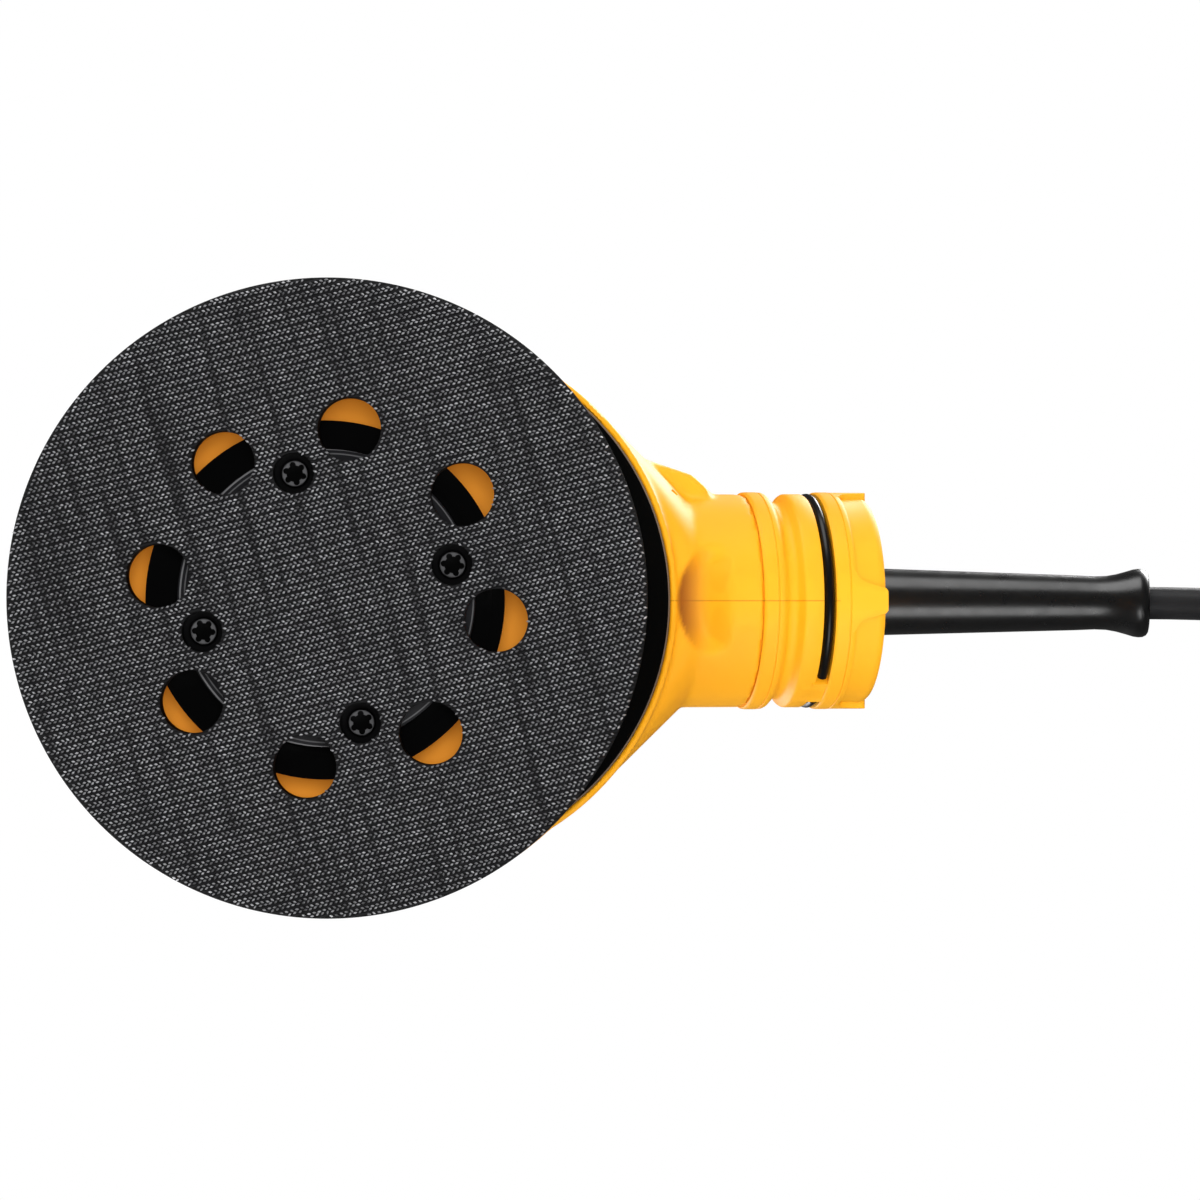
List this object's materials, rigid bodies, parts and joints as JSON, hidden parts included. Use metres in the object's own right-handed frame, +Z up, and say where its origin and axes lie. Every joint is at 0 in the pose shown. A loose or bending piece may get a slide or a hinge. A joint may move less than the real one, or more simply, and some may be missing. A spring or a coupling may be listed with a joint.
{
  "type": "orbital sander",
  "caption": "Corded palm-grip random orbital sander: round hook-faced pad with dust holes, yellow shroud with an angled dust port, rubber palm grip, and a wound mains cord.",
  "frame": {"origin": "centre of the motor axis on the pad's hook face, which rests on the surface being sanded", "axes": "+Z up along the motor axis, +X to the rear where the dust port and the cord leave, +Y to the left as seen from the cord end"},
  "size_m": [0.3343, 0.1719, 0.1519],
  "materials": {
    "hook_sheet": "napped",
    "foam": "matte",
    "black_plastic": "satin",
    "fan_plastic": "satin",
    "yellow_plastic": "satin",
    "soft_rubber": "matte",
    "black_screw": "black oxide",
    "zinc_screw": "satin",
    "bearing_steel": "polished",
    "coated_steel": "black coated, satin",
    "machined_steel": "satin",
    "die_cast": "satin",
    "lamination": "varnished",
    "copper_wire": "enamelled",
    "copper_bar": "satin",
    "brass": "satin",
    "carbon": "matte",
    "spring_steel": "satin",
    "label_film": "gloss",
    "control_board": "satin",
    "cord_jacket": "matte",
    "wire_insulation": "satin",
    "tie_wire": "satin"
  },
  "bodies": {
    "housing": {"lower_bearing_outer": "bearing_steel", "lower_bearing_balls": "bearing_steel", "upper_bearing_outer": "bearing_steel", "upper_bearing_balls": "bearing_steel", "shroud": "yellow_plastic", "dust_skirt": "soft_rubber", "port_snap_ring": "black_plastic", "baffle_plate": "black_plastic", "bearing_bracket": "die_cast", "bracket_screws": "zinc_screw", "field_core": "lamination", "field_coils": "copper_wire", "end_bracket": "black_plastic", "brush_holders": "brass", "carbon_brushes": "carbon", "brush_springs": "spring_steel", "housing_left": "yellow_plastic", "housing_right": "yellow_plastic", "housing_screws": "black_screw", "palm_grip": "soft_rubber", "side_labels": "label_film", "switch_body": "black_plastic", "switch_bezel": "black_plastic", "speed_module": "control_board", "dial_axle": "machined_steel", "cord_sleeve": "soft_rubber", "cord_lead": "cord_jacket", "cord_clamp": "black_plastic", "clamp_screws": "zinc_screw", "lead_wires": "wire_insulation", "cord": "cord_jacket", "cord_tail": "cord_jacket", "cord_coil": "cord_jacket", "cord_tie": "tie_wire", "plug_body": "soft_rubber", "plug_blades": "brass"},
    "rotor": {"eccentric_fan": "fan_plastic", "counterweight": "machined_steel", "fan_spacer": "machined_steel", "motor_shaft": "machined_steel", "armature_core": "lamination", "armature_windings": "copper_wire", "commutator": "copper_bar", "lower_bearing_inner": "bearing_steel", "upper_bearing_inner": "bearing_steel", "pad_bearing_outer": "bearing_steel", "pad_bearing_balls": "bearing_steel"},
    "pad": {"hook_face": "hook_sheet", "pad_foam": "foam", "pad_plate": "black_plastic", "pad_hub": "coated_steel", "pad_screws": "black_screw", "hub_bolt": "zinc_screw", "pad_bearing_inner": "bearing_steel"},
    "rocker": {"switch_rocker": "black_plastic"},
    "dial": {"speed_dial": "black_plastic"}
  },
  "joints": [
    {"name": "motor_spin", "type": "hinge", "parent": "housing", "child": "rotor", "pos_m": [0, 0, 0.08], "axis": [0, 0, 1], "continuous": true},
    {"name": "pad_spin", "type": "hinge", "parent": "rotor", "child": "pad", "pos_m": [-0.00109, -0.00051, 0.02], "axis": [0, 0, 1], "continuous": true},
    {"name": "switch_rocker_tilt", "type": "hinge", "parent": "housing", "child": "rocker", "pos_m": [-0.036, 0, 0.123], "axis": [0, 1, 0], "range_deg": [0, 14]},
    {"name": "speed_dial_turn", "type": "hinge", "parent": "housing", "child": "dial", "pos_m": [0.0355, 0, 0.127], "axis": [0, 1, 0], "range_deg": [-20, 250]}
  ]
}
